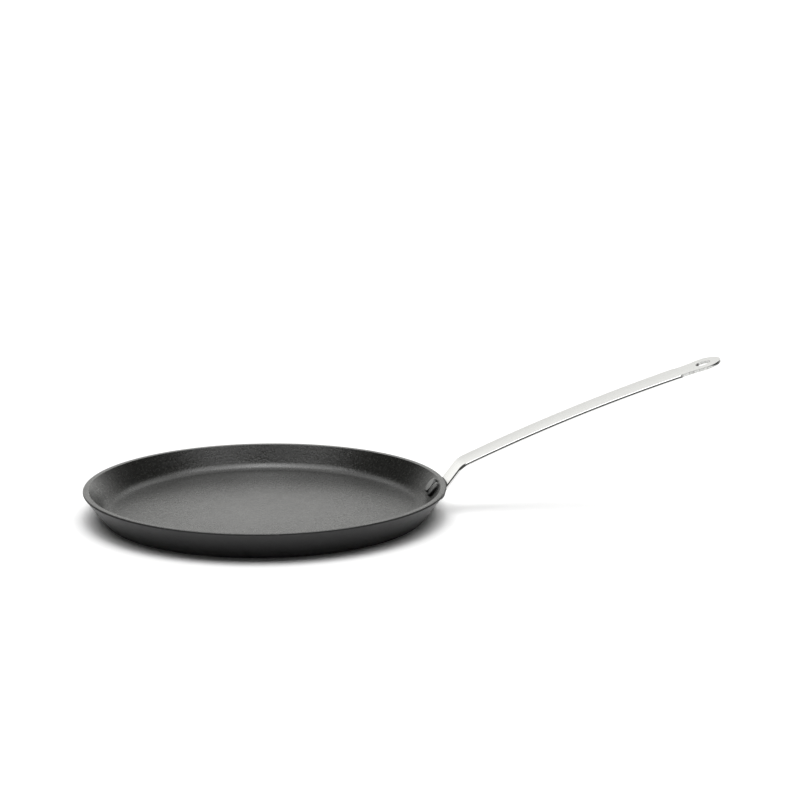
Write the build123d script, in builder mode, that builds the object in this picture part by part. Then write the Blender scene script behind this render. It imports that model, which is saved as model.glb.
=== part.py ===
"""Crepe pan: a shallow round pan with a steel strip handle held by two rivets.

The origin is the centre of the pan's underside, +Z is up and the handle points along +X. Lengths are in
millimetres, and angles are in degrees.
"""

import os
from math import asin, atan2, cos, degrees, radians, sin, tan

from build123d import *

# The pan, pressed from one round blank
rim_radius = 150.0
pan_height = 24.5
wall_flare = 17.5  # how much further out the outer wall's line is at the rim than at the underside
floor_thickness = 5.5
wall_thickness = 4.5  # less than the floor's, because the wall is drawn out of the same blank
rim_land = 1.2  # upright band that is left under the turned rim
rim_rounding = 0.6
floor_hollow = 13.0  # inner radius between the floor and the wall
base_rounding = 4.0  # outer radius between the underside and the wall

# Shallow rings turned in the underside
ring_count = 5
ring_width = 1.6
ring_depth = 0.3
ring_margin = 20.0  # from the outermost ring to the outer wall's line

# The handle, cut from one strip
strip_thickness = 2.5
strip_rounding = 1.0  # along the strip's long edges
strip_seat = 0.15  # clearance between the foot and the wall
foot_height = 6.5  # from the underside up to the strip's lower end
foot_rounding = 8.0
foot_width = 29.0
waist_width = 27.8
waist_reach = 60.0  # from the rim out to the narrowest place
bend_height = 36.5  # where the strip leaves the wall's slope
bend_radius = 17.0
run_slope = 24.6
arch_radius = 1640.0
shoulder_width = 30.0
shoulder_reach = 196.0  # from the rim out to the shoulder

# The punched end of the handle
shoulder_to_eye = 23.0
shoulder_step = 1.5  # length of the slanted step from the shoulder in to the neck
neck_to_eye = 15.0
eye_radius = 15.0
neck_inset = 1.5  # how far each side of the neck lies inside the widest place of the eye
hanging_hole_radius = 6.25
eye_rounding = 0.3  # along the outer edges

# The two rivets, side by side across the foot
rivet_height = 15.0  # of the axis, on the outer face of the wall
rivet_spacing = 14.4
shank_radius = 3.0
rivet_clearance = 0.1  # round the shank
head_seat = 0.15  # under both heads
inner_head_radius = 6.8
inner_head_height = 2.3
inner_head_rounding = 1.0
outer_head_radius = 5.5
outer_head_height = 2.8
outer_head_edge = 0.5  # upright rim of the domed outer head

overrun = 5.0  # how far a cut passes the metal

os.makedirs("parts", exist_ok=True)

# Outer face of the wall: a straight line from the underside to the foot of the rim's upright band
base_radius = rim_radius - wall_flare
wall_rise = pan_height - rim_land
wall_angle = degrees(atan2(wall_rise, wall_flare))
up_the_wall = Vector(cos(radians(wall_angle)), 0, sin(radians(wall_angle)))
out_of_the_wall = Vector(sin(radians(wall_angle)), 0, -cos(radians(wall_angle)))


def wall_point(height, depth=0.0):
    """Point at this height on the outer wall's line, moved out of the wall by this depth."""
    on_line = Vector(base_radius + height * wall_flare / wall_rise, 0, height)
    return on_line + out_of_the_wall * depth


def side(point):
    """Coordinates of a point in the XZ plane's own sketch."""
    return (point.X, point.Z)


# The inner wall is parallel to the outer one, so its corners are where its line meets the floor and the rim
inner_wall_setback = wall_thickness / sin(radians(wall_angle))
floor_corner_radius = wall_point(floor_thickness).X - inner_wall_setback
rim_inner_radius = wall_point(pan_height).X - inner_wall_setback

# Rivet places: turned about the pan's axis so that the two stand square to the wall
rivet_turn = degrees(asin(rivet_spacing / 2 / wall_point(rivet_height).X))


def rivet_plane(turn):
    """Plane on the outer wall where a rivet's axis crosses it, with Z along the axis, out of the wall."""
    return Plane(
        origin=wall_point(rivet_height).rotate(Axis.Z, turn),
        x_dir=up_the_wall.rotate(Axis.Z, turn),
        z_dir=out_of_the_wall.rotate(Axis.Z, turn),
    )


rivet_planes = {"rivet_left": rivet_plane(rivet_turn), "rivet_right": rivet_plane(-rivet_turn)}

ring_pitch = (base_radius - ring_margin) / ring_count

with BuildPart() as pan_body:
    with BuildSketch(Plane.XZ) as section:
        with BuildLine():
            Polyline(
                (0, 0),
                (base_radius, 0),
                (rim_radius, wall_rise),
                (rim_radius, pan_height),
                (rim_inner_radius, pan_height),
                (floor_corner_radius, floor_thickness),
                (0, floor_thickness),
                close=True,
            )
        make_face()
        fillet(section.vertices().sort_by_distance((base_radius, 0))[0], base_rounding)
        fillet(section.vertices().sort_by_distance((floor_corner_radius, floor_thickness))[0], floor_hollow)
        fillet(section.vertices().group_by(Axis.Y)[-1], rim_rounding)
    revolve(axis=Axis.Z)
    with BuildSketch(Plane.XZ):
        for ring in range(ring_count):
            with Locations(((ring + 1) * ring_pitch, 0)):
                Rectangle(ring_width, 2 * ring_depth)
    revolve(axis=Axis.Z, mode=Mode.SUBTRACT)
    with Locations(*rivet_planes.values()):
        Cylinder(shank_radius + rivet_clearance, 2 * (wall_thickness + overrun), mode=Mode.SUBTRACT)
pan_body.part.label = "pan_body"
export_step(pan_body.part, "parts/pan_body.step")

# Handle. Its upper face is a line in the XZ plane: up the wall, round the bend, along the arched run and
# straight through the eye. Turned about the pan's axis, the line lies on the wall across the whole foot.
foot_end = wall_point(foot_height, strip_seat)
bend_start = wall_point(bend_height, strip_seat)
run_start = bend_start + Vector(
    bend_radius * (sin(radians(wall_angle)) - sin(radians(run_slope))),
    0,
    bend_radius * (cos(radians(run_slope)) - cos(radians(wall_angle))),
)
shoulder_radius = rim_radius + shoulder_reach
eye_slope = degrees(asin(sin(radians(run_slope)) - (shoulder_radius - run_start.X) / arch_radius))
along_the_run = Vector(cos(radians(run_slope)), 0, sin(radians(run_slope)))
along_the_eye = Vector(cos(radians(eye_slope)), 0, sin(radians(eye_slope)))
under_the_run = Vector(along_the_run.Z, 0, -along_the_run.X)
under_the_eye = Vector(along_the_eye.Z, 0, -along_the_eye.X)
arch_half_turn = radians(run_slope - eye_slope) / 2
shoulder = run_start + (along_the_run + along_the_eye) * arch_radius * tan(arch_half_turn)
eye_centre = shoulder + along_the_eye * shoulder_to_eye
tip = eye_centre + along_the_eye * (eye_radius + overrun)
eye_plane = Plane(origin=eye_centre, x_dir=along_the_eye, z_dir=-under_the_eye)

# Outline of the strip, drawn flat on the eye's plane. Each side is one long arc through the foot, the waist
# and the shoulder. A hollow arc joins the neck to the round eye.
foot_station = eye_plane.to_local_coords(foot_end).X - overrun
waist = run_start + along_the_run * (rim_radius + waist_reach - run_start.X)
waist_station = eye_plane.to_local_coords(waist).X
neck_side = eye_radius - neck_inset
neck_start = (shoulder_step - shoulder_to_eye, neck_side)
neck_end = (-neck_to_eye, neck_side)
neck_hollow = (neck_to_eye ** 2 + neck_side ** 2 - eye_radius ** 2) / (2 * neck_inset)
neck_hollow_turn = degrees(atan2(neck_to_eye, neck_side + neck_hollow))

# The turned sheet that the outline is cut from is twice as wide as the foot
handle_sector = 2 * degrees(asin(foot_width / foot_end.X))
sector_start = Plane(
    origin=(0, 0, 0),
    x_dir=Vector(1, 0, 0).rotate(Axis.Z, -handle_sector / 2),
    z_dir=Vector(0, -1, 0).rotate(Axis.Z, -handle_sector / 2),
)


def station(edge):
    """Place of an edge's middle along the strip, from the eye's centre."""
    return eye_plane.to_local_coords(edge.center()).X


with BuildPart() as handle:
    with BuildSketch(sector_start):
        with BuildLine():
            for depth in (0, strip_thickness):
                into_strip = out_of_the_wall * depth
                on_wall = Line(side(foot_end + into_strip), side(bend_start + into_strip))
                bend = JernArc(on_wall @ 1, side(up_the_wall), bend_radius - depth, run_slope - wall_angle)
                arch_reach = (arch_radius - depth) * tan(arch_half_turn)
                arch_crown = run_start + under_the_run * depth + along_the_run * arch_reach
                arch = Bezier(bend @ 1, side(arch_crown), side(arch_crown + along_the_eye * arch_reach))
                through_eye = Line(arch @ 1, side(tip + under_the_eye * depth))
            Line(side(foot_end), on_wall @ 0)
            Line(side(tip), through_eye @ 1)
        make_face()
    revolve(axis=Axis.Z, revolution_arc=handle_sector)
    with BuildSketch(eye_plane):
        with BuildLine():
            Line((foot_station, 0), (foot_station, foot_width / 2))
            ThreePointArc(
                (foot_station, foot_width / 2),
                (waist_station, waist_width / 2),
                (-shoulder_to_eye, shoulder_width / 2),
            )
            Line((-shoulder_to_eye, shoulder_width / 2), neck_start)
            Line(neck_start, neck_end)
            JernArc(neck_end, (1, 0), neck_hollow, neck_hollow_turn)
            CenterArc((0, 0), eye_radius, 0, neck_hollow_turn + 90)
            mirror(about=Plane.XZ)
        make_face()
    extrude(amount=rim_radius, both=True, mode=Mode.INTERSECT)

    # The foot's corners, then the long edges as far as the shoulder, then the outer edges of the punched end
    short_edges = handle.edges().filter_by(lambda edge: edge.length < 2 * strip_thickness)
    fillet(short_edges.sort_by(station)[:2], foot_rounding)
    long_edges = handle.edges().filter_by(lambda edge: edge.length > 2 * strip_thickness)
    run_edges = long_edges.filter_by(lambda edge: station(edge) < -shoulder_to_eye - strip_thickness)
    fillet(run_edges, strip_rounding)
    eye_edges = handle.edges().filter_by(lambda edge: station(edge) > shoulder_step - shoulder_to_eye)
    fillet(eye_edges.filter_by(Axis(eye_plane.origin, eye_plane.z_dir), reverse=True), eye_rounding)
    with Locations(eye_plane):
        Cylinder(hanging_hole_radius, 2 * (strip_thickness + overrun), mode=Mode.SUBTRACT)
    with Locations(*rivet_planes.values()):
        Cylinder(shank_radius + rivet_clearance, 2 * (strip_thickness + overrun), mode=Mode.SUBTRACT)
handle.part.label = "handle"
export_step(handle.part, "parts/handle.step")

# Rivets: one section turned about its own axis, with a flat head inside the pan and a domed one on the
# strip. The section lies in its own plane, with X along the axis, out of the wall, and Y away from it.
inner_seat = -wall_thickness - head_seat
inner_top = inner_seat - inner_head_height
outer_seat = strip_seat + strip_thickness + head_seat
outer_edge = outer_seat + outer_head_edge
outer_top = outer_seat + outer_head_height
crown_rise = outer_top - outer_edge
crown_radius = (outer_head_radius ** 2 + crown_rise ** 2) / (2 * crown_rise)

for name, plane in rivet_planes.items():
    with BuildPart() as rivet:
        with BuildSketch(Plane(plane.origin, x_dir=plane.z_dir, z_dir=plane.y_dir)) as section:
            with BuildLine():
                Polyline(
                    (outer_top, 0),
                    (inner_top, 0),
                    (inner_top, inner_head_radius),
                    (inner_seat, inner_head_radius),
                    (inner_seat, shank_radius),
                    (outer_seat, shank_radius),
                    (outer_seat, outer_head_radius),
                    (outer_edge, outer_head_radius),
                )
                RadiusArc((outer_edge, outer_head_radius), (outer_top, 0), crown_radius)
            make_face()
            head_corner = section.vertices().sort_by_distance((inner_top, inner_head_radius))[0]
            fillet(head_corner, inner_head_rounding)
        revolve(axis=Axis(plane.origin, plane.z_dir))
    rivet.part.label = name
    export_step(rivet.part, f"parts/{name}.step")
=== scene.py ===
# %% [markdown]
# # A crepe pan
# A crepe pan is one shallow dish of coated aluminium. Its handle is one bent strip of steel, and two
# rivets hold them together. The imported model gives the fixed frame, so every piece made here is in
# metres, stands where that model has it and hides the plain solid that it replaces.

# %% The frame
import math

import bmesh
import bpy
from mathutils import Matrix, Vector


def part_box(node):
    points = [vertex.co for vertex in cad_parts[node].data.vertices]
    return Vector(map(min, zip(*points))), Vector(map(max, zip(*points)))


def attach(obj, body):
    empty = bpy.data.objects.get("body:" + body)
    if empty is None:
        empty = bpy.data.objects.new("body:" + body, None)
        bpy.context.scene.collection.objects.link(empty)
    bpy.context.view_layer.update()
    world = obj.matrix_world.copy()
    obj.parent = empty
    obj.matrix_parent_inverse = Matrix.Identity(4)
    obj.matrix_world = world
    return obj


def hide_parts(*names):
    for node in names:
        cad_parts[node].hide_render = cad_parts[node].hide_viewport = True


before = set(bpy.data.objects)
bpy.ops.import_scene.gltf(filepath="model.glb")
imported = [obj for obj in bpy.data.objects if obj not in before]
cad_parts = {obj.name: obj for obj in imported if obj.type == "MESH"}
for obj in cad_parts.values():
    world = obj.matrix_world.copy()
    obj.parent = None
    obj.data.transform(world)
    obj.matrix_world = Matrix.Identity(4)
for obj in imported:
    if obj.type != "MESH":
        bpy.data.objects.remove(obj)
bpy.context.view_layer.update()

mm = 0.001
scene = bpy.context.scene

# %% [markdown]
# ## The camera
# The picture is taken with a long lens from a little above the rim, so the pan shows as a narrow
# ellipse that hardly shrinks with distance. The camera's place and tilt come from fitting the
# ellipses of the rim and of the underside. A long lens is a short sensor behind a long focal length:
# 36 mm and 108 mm here. The picture is level, so the camera only turns and tilts.

# %% Camera
camera_place = Vector((-123.9, -1924.2, 521.6)) * mm
camera_aim = Vector((0.1190, 0.9692, -0.2155)).normalized()
away = Vector((camera_aim.x, camera_aim.y, 0)).normalized()

camera_data = bpy.data.cameras.new("camera")
camera_data.sensor_width = 36.0
camera_data.lens = 108.0
camera = bpy.data.objects.new("camera", camera_data)
camera.location = camera_place
camera.rotation_euler = camera_aim.to_track_quat("-Z", "Y").to_euler()
scene.collection.objects.link(camera)
scene.camera = camera
print("the camera looks", round(math.degrees(math.asin(-camera_aim.z)), 2), "degrees down")

# %% [markdown]
# ## Shader maths
# Materials and the studio's light are sums and products of values that change from place to place.
# A small class wraps a socket, so that such a sum is written as Python writes it, and each operator
# adds one Math node. The method `node` adds any other node: its settings first, then what goes into
# its sockets. Colours never go through a Math node, which would turn them grey.

# %% Shader helpers


class Wire:
    """An output socket of a node tree."""

    def __init__(self, tree, socket=None):
        self.tree, self.socket = tree, socket

    def node(self, kind, settings=None, values=None, output=0):
        """Adds a node to the same tree and returns one of its outputs."""
        made = self.tree.nodes.new(kind)
        for name, value in (settings or {}).items():
            setattr(made, name, value)
        for name, value in (values or {}).items():
            if isinstance(value, Wire):
                self.tree.links.new(value.socket, made.inputs[name])
            else:
                made.inputs[name].default_value = value
        return Wire(self.tree, made.outputs[output])

    def math(self, operation, first, second=0.0):
        return self.node("ShaderNodeMath", {"operation": operation}, {0: first, 1: second})

    def __add__(self, other):
        return self.math("ADD", self, other)

    def __radd__(self, other):
        return self.math("ADD", other, self)

    def __sub__(self, other):
        return self.math("SUBTRACT", self, other)

    def __rsub__(self, other):
        return self.math("SUBTRACT", other, self)

    def __mul__(self, other):
        return self.math("MULTIPLY", self, other)

    def __rmul__(self, other):
        return self.math("MULTIPLY", other, self)

    def smooth(self, low, high, to_low=0.0, to_high=1.0):
        """Goes smoothly from to_low to to_high while the value goes from low to high."""
        return self.node("ShaderNodeMapRange", {"interpolation_type": "SMOOTHSTEP"},
                         {"Value": self, "From Min": low, "From Max": high,
                          "To Min": to_low, "To Max": to_high})

    def dot(self, direction):
        return self.node("ShaderNodeVectorMath", {"operation": "DOT_PRODUCT"},
                         {0: self, 1: direction}, "Value")

    def times(self, factors):
        return self.node("ShaderNodeVectorMath", {"operation": "MULTIPLY"}, {0: self, 1: factors})

    def length(self):
        return self.node("ShaderNodeVectorMath", {"operation": "LENGTH"}, {0: self}, "Value")

    def noise(self, size, detail=2.0, roughness=0.5):
        """Soft noise around 0.5, whose spots are about this size in metres."""
        return self.node("ShaderNodeTexNoise", {},
                         {"Vector": self, "Scale": 1 / size, "Detail": detail,
                          "Roughness": roughness}, "Fac")

    def cells(self, size, output):
        """Random cells about this size: Distance from the middle, or a Color for each cell."""
        return self.node("ShaderNodeTexVoronoi", {}, {"Vector": self, "Scale": 1 / size}, output)

    def blend(self, first, second):
        """Mixes two colours by this share of the second."""
        return self.node("ShaderNodeMix", {"data_type": "RGBA"},
                         {"Factor": self, "A": first, "B": second}, 2)


def feed(shader, name, wire):
    """Links a wire to a socket of a shader."""
    wire.tree.links.new(wire.socket, shader.inputs[name])


# %% [markdown]
# ## The light
# The studio is a white table that sweeps up behind the pan, with softboxes overhead and a dark
# room in front. Two round softboxes hang side by side over the pan, and a wider, weaker one hangs
# behind them. Together they make a wide, soft light, whose mirror image is the bright ring where the
# far wall meets the floor. The sweep behind is what the flat floor of the pan and the top of the
# handle mirror. It is a touch warm, bright low down behind the pan, and fades upwards and to the
# sides. The dark room is what the far wall and the near side of the handle mirror, so the wall stays
# almost black and a dark line runs along the handle. Suns with a wide disc are the softboxes, because
# they light the whole table alike, and the world is the sweep and the room.

# %% Sun and world
beside = away.cross(Vector((0, 0, 1)))


def softbox(name, aside, back, width, energy):
    """Adds a round softbox overhead, leaning aside and back from the zenith by these degrees."""
    data = bpy.data.lights.new(name, "SUN")
    data.energy, data.angle = energy, math.radians(width)
    light = bpy.data.objects.new(name, data)
    towards = Vector((0, 0, 1)) + away * math.tan(math.radians(back))
    towards += beside * math.tan(math.radians(aside))
    light.rotation_euler = towards.to_track_quat("Z", "Y").to_euler()
    scene.collection.objects.link(light)
    return light


pair_aside, pair_back, pair_width, pair_energy = 13, -3, 44, 1.55
softbox("softbox_left", -pair_aside, pair_back, pair_width, pair_energy)
softbox_right = softbox("softbox_right", pair_aside, pair_back, pair_width, pair_energy)
softbox("softbox_back", 0, 32, 60, 0.9)

world = bpy.data.worlds.new("studio")
world.use_nodes = True
scene.world = world
background = world.node_tree.nodes["Background"]
background.inputs["Color"].default_value = (1.0, 1.0, 0.98, 1.0)
room_strength, sweep_strength = 0.08, 1.24
ray = Wire(world.node_tree).node("ShaderNodeTexCoord", output="Generated")
behind = ray.dot(away).smooth(0.5, 0.95)
low_down = ray.dot((0, 0, 1)).smooth(0.1, 0.7, 1.0, 0.08)
feed(background, "Strength", room_strength + sweep_strength * (behind * low_down))

scene.view_settings.view_transform = "Standard"

# %% [markdown]
# ## The table
# The table is a plain sheet of white paper that reaches far beyond the picture. It is matt, so it
# shows shadows and no mirror images. It is only a stage, and no part of the pan.

# %% Table
table_reach = 30.0
paper_white = 0.9

sheet = bmesh.new()
bmesh.ops.create_grid(sheet, x_segments=1, y_segments=1, size=table_reach)
table_mesh = bpy.data.meshes.new("table")
sheet.to_mesh(table_mesh)
sheet.free()
table = bpy.data.objects.new("table", table_mesh)
scene.collection.objects.link(table)

paper = bpy.data.materials.new("white_paper")
paper.use_nodes = True
paper_shader = paper.node_tree.nodes["Principled BSDF"]
paper_shader.inputs["Base Color"].default_value = (paper_white, paper_white, paper_white, 1.0)
paper_shader.inputs["Roughness"].default_value = 1.0
paper_shader.inputs["Specular IOR Level"].default_value = 0.0
table_mesh.materials.append(paper)
print("the table is", 2 * table_reach, "m wide")

# %% [markdown]
# ## Drawing a line with operators
# A turned piece starts as half of its section: one line, drawn with a pen. A straight run extrudes
# the pen's vertex and moves it. A rounded corner spins the vertex about the corner's centre, which
# gives a true arc at any angle. Straight runs are drawn in short steps, so that smooth shading never
# has to spread one corner's normal over a long face.

# %% Pen
longest_step = 5 * mm
arc_step = math.radians(6)


def run_to(shape, pen, place):
    """Draws a straight run from the pen's vertex to a place, in even steps."""
    steps = max(1, math.ceil((place - pen.co).length / longest_step))
    step = (place - pen.co) / steps
    for _ in range(steps):
        pen = bmesh.ops.extrude_vert_indiv(shape, verts=[pen])["verts"][0]
        bmesh.ops.translate(shape, verts=[pen], vec=step)
    return pen


def arc_about(shape, pen, centre, axis, angle):
    """Draws an arc from the pen's vertex about a centre."""
    steps = max(2, math.ceil(abs(angle) / arc_step))
    spun = bmesh.ops.spin(shape, geom=[pen], cent=centre, axis=axis, dvec=(0, 0, 0), angle=angle,
                          steps=steps, use_merge=False, use_duplicate=False)
    return spun["geom_last"][0]


def draw(shape, pen, corners):
    """Draws on through corners of (place, rounding), and ends at the last of them."""
    places = [place for place, _ in corners]
    for here, after, rounding in zip(places, places[1:], [rounding for _, rounding in corners]):
        into, out = (here - pen.co).normalized(), (after - here).normalized()
        turn = into.angle(out)
        inwards = (out - into * into.dot(out)).normalized()
        pen = run_to(shape, pen, here - into * rounding * math.tan(turn / 2))
        if rounding:
            pen = arc_about(shape, pen, pen.co + inwards * rounding, into.cross(out), turn)
    return run_to(shape, pen, places[-1])


def in_section(radius, height, rounding=0.0):
    """A corner of a turned piece's section, from millimetres."""
    return Vector((radius, 0, height)) * mm, rounding * mm


def turn_round(shape, steps):
    """Spins a drawn section once round the Z axis, closes its poles and faces it outwards."""
    bmesh.ops.spin(shape, geom=shape.verts[:] + shape.edges[:], cent=(0, 0, 0), axis=(0, 0, 1),
                   dvec=(0, 0, 0), angle=2 * math.pi, steps=steps,
                   use_merge=True, use_duplicate=False)
    bmesh.ops.remove_doubles(shape, verts=shape.verts, dist=0.01 * mm)
    bmesh.ops.recalc_face_normals(shape, faces=shape.faces)


# %% [markdown]
# ## Finishing a piece
# Every piece ends the same way. Its faces are shaded smooth, apart from edges that really are sharp,
# and a Weighted Normal modifier lets the large flat faces lead, so that a rounding doesn't bend the
# light on the flat beside it. Then the piece rides on the one body, stands for its plain solid and
# gets its materials.

# %% Finish
sharp_edge = math.radians(32)


def finish_piece(shape, name, node_name, materials):
    """Makes an object of a shape, with its materials, and ties it to the frame."""
    mesh = bpy.data.meshes.new(name)
    for face in shape.faces:
        face.smooth = True
    shape.to_mesh(mesh)
    shape.free()
    mesh.set_sharp_from_angle(angle=sharp_edge)
    for material in materials:
        mesh.materials.append(material)
    piece = bpy.data.objects.new(name, mesh)
    scene.collection.objects.link(piece)
    weighted = piece.modifiers.new("flat faces lead", "WEIGHTED_NORMAL")
    weighted.keep_sharp = True
    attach(piece, "root")
    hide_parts(node_name)
    low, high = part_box(node_name)
    places = [[vertex.co[axis] for vertex in mesh.vertices] for axis in range(3)]
    size = [round(max(along) - min(along), 4) for along in places]
    packed_size = [round(high[axis] - low[axis], 4) for axis in range(3)]
    print(name, len(mesh.polygons), "faces, size", size, "and packed", packed_size)
    return piece


# %% [markdown]
# ## The coating inside
# A non-stick coating is sprayed on and baked. It is a dark film with metal flakes in it, and it
# dries with a fine grit and a skin like orange peel. A picture of such a coating could be laid on,
# but noise in the object's own space has no seams and can be tuned. The flakes are random cells of
# about a millimetre, and the brighter a cell is, the more it shows. The grit changes the roughness
# and the height, so it speckles whatever the floor mirrors. The middle of the floor is rubbed
# smoother by use, so it shines more than the edge.

# %% Coating inside
coating_inside = bpy.data.materials.new("coating_inside")
coating_inside.use_nodes = True
shader = coating_inside.node_tree.nodes["Principled BSDF"]
here = Wire(coating_inside.node_tree).node("ShaderNodeTexCoord", output="Object")

flake_size = 1.1 * mm
flake_colour = here.cells(flake_size, "Color")
brightness = flake_colour.dot((1, 0, 0))
near_middle = here.cells(flake_size, "Distance").smooth(0.25, 0.5, 1.0, 0.0)
flake = brightness.smooth(0.35, 1.0) * near_middle
from_axis = here.times((1, 1, 0)).length()
rubbed = from_axis.smooth(30 * mm, 120 * mm, 1.0, 0.0)
mottle = here.noise(18 * mm, 3.0)
grit = here.noise(2.4 * mm, 3.0, 0.7).smooth(0.3, 0.7)
peel = here.noise(0.9 * mm, 3.0, 0.6)

dark_film, bright_flake = (0.008, 0.008, 0.007, 1), (0.24, 0.245, 0.225, 1)
feed(shader, "Base Color", (0.22 * flake).blend(dark_film, bright_flake))
feed(shader, "Roughness", 0.21 + 0.08 * mottle - 0.07 * rubbed + 0.08 * grit)
shader.inputs["IOR"].default_value = 1.5
skin = peel + 0.8 * flake + 2.0 * grit
feed(shader, "Normal", here.node("ShaderNodeBump", {},
                                 {"Strength": 0.35, "Distance": 0.06 * mm, "Height": skin}))

# %% [markdown]
# ## The coating outside
# The outside has the same dark film, but without the flakes. Handling leaves faint smears that make
# it a little rougher here and there, and sliding over hobs wears the lowest edge lighter. The
# upright edge of the rim, from 23.3 mm up, is painted darker and made matt: painted shade, a dark
# line drawn round the rim. A height in the object's own space tells the shader where these places
# are, so no mask has to be painted.

# %% Coating outside
coating_outside = bpy.data.materials.new("coating_outside")
coating_outside.use_nodes = True
shader = coating_outside.node_tree.nodes["Principled BSDF"]
here = Wire(coating_outside.node_tree).node("ShaderNodeTexCoord", output="Object")

scuffs = here.times((1, 1, 4)).noise(7 * mm, 4.0, 0.65).smooth(0.5, 0.75)
low_down = here.dot((0, 0, 1)).smooth(0.3 * mm, 3 * mm, 1.0, 0.0)
worn = scuffs * low_down
# Painted shade: the rim's upright edge is darkened in colour to draw a dark line round the rim.
painted_rim_line = here.dot((0, 0, 1)).smooth(23.0 * mm, 23.3 * mm)
film = painted_rim_line.blend((0.021, 0.021, 0.0215, 1), (0.004, 0.004, 0.004, 1))
worn_metal = (0.20, 0.20, 0.20, 1)
feed(shader, "Base Color", (0.5 * worn).blend(film, worn_metal))
feed(shader, "Roughness", 0.40 + 0.10 * scuffs + 0.35 * painted_rim_line)
shader.inputs["IOR"].default_value = 1.5
peel = here.noise(0.7 * mm, 2.0, 0.5)
feed(shader, "Normal", here.node("ShaderNodeBump", {},
                                 {"Strength": 0.2, "Distance": 0.03 * mm, "Height": peel}))

# %% [markdown]
# ## The dish
# The real dish is pressed from one round blank, and its underside is turned with a few shallow rings
# that keep it flat when it heats. A lathe would make the same shape, so it is modelled as turned
# work: half of the section is drawn with the pen and spun about the pan's axis. The press leaves
# the outer corner of the rim rounder than the inner one. Faces that look down or outwards have the
# coating of the outside, and all others have that of the inside.

# %% Dish
rim_radius, dish_height, wall_flare = 150.0, 24.5, 17.5
floor_thickness, wall_thickness, rim_land = 5.5, 4.5, 1.2
floor_hollow, base_rounding, rim_rounding, rim_outer_rounding = 13.0, 4.0, 0.6, 1.1
ring_count, ring_width, ring_depth, ring_margin = 5, 1.6, 0.3, 20.0
dish_steps = 288

base_radius = rim_radius - wall_flare
wall_rise = dish_height - rim_land
wall_angle = math.atan2(wall_rise, wall_flare)
setback = wall_thickness / math.sin(wall_angle)
floor_radius = base_radius + floor_thickness * wall_flare / wall_rise - setback
rim_inside = base_radius + dish_height * wall_flare / wall_rise - setback
ring_pitch = (base_radius - ring_margin) / ring_count

section = bmesh.new()
pen = section.verts.new((0, 0, floor_thickness * mm))
corners = [
    in_section(floor_radius, floor_thickness, floor_hollow),
    in_section(rim_inside, dish_height, rim_rounding),
    in_section(rim_radius, dish_height, rim_outer_rounding),
    in_section(rim_radius, wall_rise),
    in_section(base_radius, 0, base_rounding),
]
for ring in range(ring_count, 0, -1):
    middle = ring * ring_pitch
    corners += [
        in_section(middle + ring_width / 2, 0),
        in_section(middle + ring_width / 2, ring_depth),
        in_section(middle - ring_width / 2, ring_depth),
        in_section(middle - ring_width / 2, 0),
    ]
corners.append(in_section(0, 0))
draw(section, pen, corners)
turn_round(section, dish_steps)

for face in section.faces:
    outward = face.normal.dot(face.calc_center_median() * Vector((1, 1, 0)))
    face.material_index = int(face.normal.z < 0 or (outward > 0 and face.normal.z < 0.7))
finish_piece(section, "dish", "pan_body", [coating_inside, coating_outside])

# %% [markdown]
# ## The handle
# The real handle is punched flat from strip, with its hanging hole and its rivet holes, and then
# pressed to shape. It is made the same way here. Half of the outline is drawn and mirrored, one face
# fills it, and the blank gets its thickness. The outline starts at the foot, widens to a shoulder,
# steps in to a hollow neck and ends round the eye.

# %% Handle outline
strip_thickness, strip_rounding, strip_seat = 2.5, 0.9, 0.15
foot_height, foot_rounding, foot_width = 6.5, 8.0, 29.0
waist_width, waist_reach = 27.8, 60.0
bend_height, bend_radius = 36.5, 17.0
run_slope, arch_radius = math.radians(24.6), 1640.0
shoulder_width, shoulder_reach = 30.0, 196.0
shoulder_to_eye, shoulder_step, neck_to_eye = 23.0, 1.5, 15.0
eye_radius, neck_inset, hole_radius, eye_rounding = 15.0, 2.2, 6.25, 0.3
rivet_height, rivet_spacing, shank_radius, rivet_clearance = 15.0, 14.4, 3.0, 0.1


def across_section(angle):
    """Directions along and out of a line that climbs at this angle, as (radius, 0, height)."""
    level, climb = math.cos(angle), math.sin(angle)
    return Vector((level, 0, climb)), Vector((climb, 0, -level))


def wall_point(height, depth=0.0):
    """Point at a height on the outer wall, moved out of it by a depth, in millimetres."""
    on_wall = Vector((base_radius + height * wall_flare / wall_rise, 0, height))
    return on_wall + across_section(wall_angle)[1] * depth


foot_end, bend_start = wall_point(foot_height, strip_seat), wall_point(bend_height, strip_seat)
bend_centre = bend_start + across_section(wall_angle)[1] * bend_radius
run_start = bend_centre - across_section(run_slope)[1] * bend_radius
arch_centre = run_start + across_section(run_slope)[1] * arch_radius
run_reach = rim_radius + shoulder_reach - run_start.x
eye_slope = math.asin(math.sin(run_slope) - run_reach / arch_radius)
shoulder_place = arch_centre - across_section(eye_slope)[1] * arch_radius

foot_length = (bend_start - foot_end).length
bend_end = foot_length + bend_radius * (wall_angle - run_slope)
shoulder = bend_end + arch_radius * (run_slope - eye_slope)
eye = shoulder + shoulder_to_eye
waist = bend_end + (rim_radius + waist_reach - run_start.x) / math.cos(run_slope)
neck_side = eye_radius - neck_inset
hollow_radius = (neck_to_eye ** 2 + neck_side ** 2 - eye_radius ** 2) / (2 * neck_inset)
hollow_turn = math.atan2(neck_to_eye, neck_side + hollow_radius)
print("the strip is", round(eye + eye_radius, 1), "mm long")
print("its end slopes by", round(math.degrees(eye_slope), 1), "degrees")


def on_strip(along, across, rounding=0.0):
    """A corner of the flat strip's outline, from millimetres."""
    return Vector((along, across, 0)) * mm, rounding * mm


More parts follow.
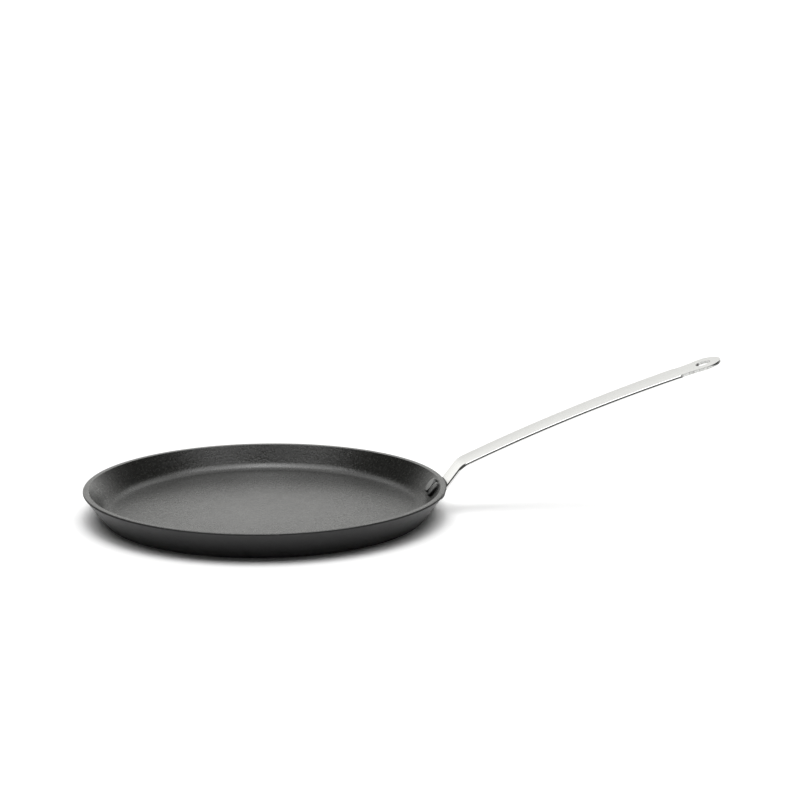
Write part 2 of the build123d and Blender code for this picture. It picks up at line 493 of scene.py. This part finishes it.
blank = bmesh.new()
pen = blank.verts.new((0, 0, 0))
pen = draw(blank, pen, [
    on_strip(0, foot_width / 2, foot_rounding),
    on_strip(shoulder, shoulder_width / 2),
    on_strip(shoulder + shoulder_step, neck_side),
    on_strip(eye - neck_to_eye, neck_side),
])
hollow_centre = on_strip(eye - neck_to_eye, neck_side + hollow_radius)[0]
pen = arc_about(blank, pen, hollow_centre, (0, 0, 1), hollow_turn)
arc_about(blank, pen, on_strip(eye, 0)[0], (0, 0, -1), math.pi / 2 + hollow_turn)
bmesh.ops.mirror(blank, geom=blank.verts[:] + blank.edges[:], matrix=Matrix.Identity(4),
                 merge_dist=0.01 * mm, axis="Y")

bmesh.ops.remove_doubles(blank, verts=blank.verts, dist=0.01 * mm)
bmesh.ops.contextual_create(blank, geom=blank.edges[:])
thick = bmesh.ops.extrude_face_region(blank, geom=blank.faces[:])
bmesh.ops.translate(blank, verts=[v for v in thick["geom"] if isinstance(v, bmesh.types.BMVert)],
                    vec=(0, 0, -strip_thickness * mm))
bmesh.ops.recalc_face_normals(blank, faces=blank.faces)
print("the blank has", len(blank.verts), "vertices on its two outlines")

# %% [markdown]
# ## Edges, cuts and holes
# The long edges are rounded in a mill before the strip is punched, so they are round only as far as
# the shoulder. The punched end keeps crisp edges that are barely broken. After that, planes cut the
# blank across and along, so that it can follow the bend, and a punch goes through all three holes: a
# Boolean modifier takes three cylinders out of the blank.

# %% Handle blank


def crisp_edges(low, high):
    """Edges between a flat face and a side face, from one place along the strip to another."""
    def wanted(edge):
        flat = abs(edge.verts[0].co.z - edge.verts[1].co.z) < 0.01 * mm
        middle = (edge.verts[0].co.x + edge.verts[1].co.x) / 2
        return flat and edge.calc_face_angle(0) > 1 and low * mm < middle < high * mm
    return [edge for edge in blank.edges if wanted(edge)]


for low, high, rounding, segments in (
    (-1, shoulder, strip_rounding, 5),
    (shoulder, eye + 2 * eye_radius, eye_rounding, 2),
):
    bmesh.ops.bevel(blank, geom=crisp_edges(low, high), offset=rounding * mm, offset_type="OFFSET",
                    segments=segments, profile=0.5, affect="EDGES", clamp_overlap=False, material=-1)

foot_step, bend_steps, run_steps, side_step, side_steps = 2.5, 14, 40, 2.4, 5
bend_length, run_length = bend_end - foot_length, shoulder - bend_end
cuts_along = [step * foot_step for step in range(1, int(foot_length / foot_step) + 1)]
cuts_along += [foot_length + step * bend_length / bend_steps for step in range(bend_steps + 1)]
cuts_along += [bend_end + step * run_length / run_steps for step in range(1, run_steps)]
cuts_across = [step * side_step for step in range(-side_steps, side_steps + 1)]
cuts = [((along * mm, 0, 0), (1, 0, 0)) for along in cuts_along]
cuts += [((0, across * mm, 0), (0, 1, 0)) for across in cuts_across]
for place, normal in cuts:
    bmesh.ops.bisect_plane(blank, geom=blank.verts[:] + blank.edges[:] + blank.faces[:],
                           dist=0.001 * mm, plane_co=place, plane_no=normal)

rivet_along = (wall_point(rivet_height) - wall_point(foot_height)).length
rivet_hole = shank_radius + rivet_clearance
hole_steps, punch_depth = 64, 4 * strip_thickness
punch = bmesh.new()
for along, across, radius in (
    (rivet_along, rivet_spacing / 2, rivet_hole),
    (rivet_along, -rivet_spacing / 2, rivet_hole),
    (eye, 0, hole_radius),
):
    bmesh.ops.create_cone(punch, cap_ends=True, cap_tris=False, segments=hole_steps,
                          radius1=radius * mm, radius2=radius * mm, depth=punch_depth * mm,
                          matrix=Matrix.Translation(on_strip(along, across)[0]))


def as_object(shape, name):
    """Makes a helper object of a shape."""
    mesh = bpy.data.meshes.new(name)
    shape.to_mesh(mesh)
    made = bpy.data.objects.new(name, mesh)
    scene.collection.objects.link(made)
    return made


flat_strip, punch_tool = as_object(blank, "flat_strip"), as_object(punch, "punch_tool")
punching = flat_strip.modifiers.new("punching", "BOOLEAN")
punching.object, punching.operation, punching.solver = punch_tool, "DIFFERENCE", "EXACT"
worked_out = bpy.context.evaluated_depsgraph_get()
punched = bpy.data.meshes.new_from_object(flat_strip.evaluated_get(worked_out))
blank.clear()
blank.from_mesh(punched)
for helper in (flat_strip, punch_tool):
    bpy.data.objects.remove(helper)
closed = all(len(edge.link_faces) == 2 for edge in blank.edges)
print("the punched strip has", len(blank.faces), "faces, closed:", closed)

# %% [markdown]
# ## The steel of the handle
# The strip is stainless steel that is rolled, ground lengthwise and then polished, so it mirrors the
# room with a faint grain along the strip. The grain follows the strip round its bend, so it is read
# from the place on the flat strip, which the mesh keeps as an attribute: along, across and into it.
# Its sides are polished smoother than its faces, and past the shoulder, where the punch tore through,
# they have rough grey patches.

# %% Steel
steel = bpy.data.materials.new("strip_steel")
steel.use_nodes = True
shader = steel.node_tree.nodes["Principled BSDF"]
strip = Wire(steel.node_tree).node("ShaderNodeAttribute", {"attribute_name": "strip"},
                                   output="Vector")

grain = strip.times((0.02, 1, 1)).noise(0.25 * mm, 3.0, 0.6)
smears = strip.noise(25 * mm, 3.0)
skin_depth, core_depth = 0.05, 0.3
depth = strip.dot((0, 0, -1))
under_top = depth.smooth(skin_depth * mm, core_depth * mm)
over_bottom = depth.smooth((strip_thickness - core_depth) * mm,
                           (strip_thickness - skin_depth) * mm, 1.0, 0.0)
edge = under_top * over_bottom
sheared = edge * strip.dot((1, 0, 0)).smooth(shoulder * mm, (shoulder + 1) * mm)
tears = strip.times((1, 1, 0.15)).noise(0.7 * mm, 2.0, 0.7).smooth(0.35, 0.65)
torn = sheared * tears
polish = smears.blend((0.71, 0.71, 0.70, 1), (0.67, 0.67, 0.66, 1))
torn_grey = (0.36, 0.36, 0.35, 1)
feed(shader, "Base Color", torn.blend(polish, torn_grey))
shader.inputs["Metallic"].default_value = 1.0
ground = 0.13 + 0.08 * grain + 0.05 * smears
feed(shader, "Roughness", ground * (1.0 - 0.6 * edge) + 0.12 * torn)
relief = grain + 3.0 * torn
feed(shader, "Normal", strip.node("ShaderNodeBump", {},
                                  {"Strength": 0.15, "Distance": 0.01 * mm, "Height": relief}))

# %% [markdown]
# ## Bending the strip
# The real strip is bent in a press. A Curve modifier would bend the mesh too, but it would leave the
# foot flat across, and this foot lies on a round wall. So each vertex is carried from its place on
# the flat strip to its place on the bent one: up the wall of the dish, round a tight bend, along a
# slightly arched run and straight through the eye. What lies beside the middle line is carried round
# the axis of the dish, and that curves the foot. Real strip adds two small things. In the tight bend
# the squeezed inner side bulges out and the stretched outer side pulls in. The sides lean out a
# little towards the underside, as slitting leaves them.

# %% Handle bending
bend_bulge, edge_lean = 0.45, math.tan(math.radians(10))


def line_at(along):
    """Place on the bent strip's top line in (radius, 0, height), and the line's slope there."""
    if along < foot_length:
        return foot_end + across_section(wall_angle)[0] * along, wall_angle
    if along < bend_end:
        slope = wall_angle - (along - foot_length) / bend_radius
        return bend_centre - across_section(slope)[1] * bend_radius, slope
    if along < shoulder:
        slope = run_slope - (along - bend_end) / arch_radius
        return arch_centre - across_section(slope)[1] * arch_radius, slope
    return shoulder_place + across_section(eye_slope)[0] * (along - shoulder), eye_slope


def width_share(along):
    """Width as a share of a straight-sided strip's: 1 at the foot, at the shoulder and past it."""
    if not 0 < along < shoulder:
        return 1.0
    widening = (shoulder_width - foot_width) / shoulder
    dip = (waist_width - foot_width - widening * waist) / (waist * (shoulder - waist))
    return 1 + dip * along * (shoulder - along) / (foot_width + widening * along)


def bulge(along, depth):
    """Width as a share of the flat strip's: over 1 inside the tight bend, under 1 outside it."""
    to_bend_edge = min(along - foot_length, bend_end - along)
    bent = max(0, min(1, to_bend_edge / strip_thickness))
    return 1 + bend_bulge * bent * (depth - strip_thickness / 2) / bend_radius


def slant(along, across, depth):
    """How far a side of the strip leans out towards the strip's underside."""
    leaning = edge_lean if along < shoulder + eye_rounding else 0.0
    return leaning * (depth - strip_thickness / 2) * across / (shoulder_width / 2)


on_flat = blank.verts.layers.float_vector.new("strip")
for vertex in blank.verts:
    along, across, depth = vertex.co.x / mm, vertex.co.y / mm, -vertex.co.z / mm
    vertex[on_flat] = vertex.co
    place, slope = line_at(along)
    place = place + across_section(slope)[1] * depth
    across = across * width_share(along) * bulge(along, depth) + slant(along, across, depth)
    vertex.co = Vector((math.sqrt(place.x ** 2 - across ** 2), across, place.z)) * mm
handle = finish_piece(blank, "strip_handle", "handle", [steel])

# %% [markdown]
# ## The handle's shadow
# The long shadow of the handle draws the eye away from the pan, so a photographer lightens it. In
# Blender a light can leave out what it shades: the right softbox shines past the handle.

# %% A lighter shadow under the handle
past_handle = bpy.data.collections.new("softbox_shines_past")
past_handle.objects.link(handle)
past_handle.collection_objects[0].light_linking.link_state = "EXCLUDE"
softbox_right.light_linking.blocker_collection = past_handle

# %% [markdown]
# ## The rivets
# Two rivets go through the wall and the foot of the handle. They are coated dark like the dish. The
# film is thin and smooth on them, and soft noise marks the places where it is rubbed lighter.

# %% Rivet finish
rivet_coating = bpy.data.materials.new("rivet_coating")
rivet_coating.use_nodes = True
shader = rivet_coating.node_tree.nodes["Principled BSDF"]
here = Wire(rivet_coating.node_tree).node("ShaderNodeTexCoord", output="Object")
rubs = here.noise(2.5 * mm, 4.0, 0.6).smooth(0.45, 0.8)
dark_coat, rubbed_coat = (0.012, 0.012, 0.012, 1), (0.07, 0.07, 0.068, 1)
feed(shader, "Base Color", (0.4 * rubs).blend(dark_coat, rubbed_coat))
feed(shader, "Roughness", 0.18 + 0.12 * rubs)
shader.inputs["IOR"].default_value = 1.5
peel = here.noise(0.6 * mm, 2.0)
feed(shader, "Normal", here.node("ShaderNodeBump", {},
                                 {"Strength": 0.2, "Distance": 0.03 * mm, "Height": peel}))

# %% [markdown]
# ## Turning the rivets
# Each rivet has a wide flat head inside the dish and a small domed one on the strip. A rivet is
# turned work too: it is drawn standing on the origin, spun, and then set square to the wall.

# %% Rivets
rivet_steps = 96
head_seat, inner_head_radius, inner_head_height, inner_head_rounding = 0.15, 6.8, 2.3, 1.0
outer_head_radius, outer_head_height, outer_head_edge = 5.5, 2.8, 0.5

inner_seat = -wall_thickness - head_seat
inner_top = inner_seat - inner_head_height
outer_seat = strip_seat + strip_thickness + head_seat
outer_edge, outer_top = outer_seat + outer_head_edge, outer_seat + outer_head_height
crown_rise = outer_top - outer_edge
crown_radius = (outer_head_radius ** 2 + crown_rise ** 2) / (2 * crown_rise)
rivet_turn = math.asin(rivet_spacing / 2 / wall_point(rivet_height).x)

for name, node_name, side in (("left_rivet", "rivet_left", 1), ("right_rivet", "rivet_right", -1)):
    section = bmesh.new()
    pen = section.verts.new((0, 0, inner_top * mm))
    pen = draw(section, pen, [
        in_section(inner_head_radius, inner_top, inner_head_rounding),
        in_section(inner_head_radius, inner_seat),
        in_section(shank_radius, inner_seat),
        in_section(shank_radius, outer_seat),
        in_section(outer_head_radius, outer_seat),
        in_section(outer_head_radius, outer_edge),
    ])
    crown_centre = Vector((0, 0, (outer_top - crown_radius) * mm))
    arc_about(section, pen, crown_centre, (0, -1, 0), math.asin(outer_head_radius / crown_radius))
    turn_round(section, rivet_steps)
    up, out = across_section(wall_angle)
    stand = Matrix((up, out.cross(up), out)).transposed().to_4x4()
    stand.translation = wall_point(rivet_height) * mm
    round_dish = Matrix.Rotation(side * rivet_turn, 4, "Z")
    bmesh.ops.transform(section, matrix=round_dish @ stand, verts=section.verts)
    finish_piece(section, name, node_name, [rivet_coating])
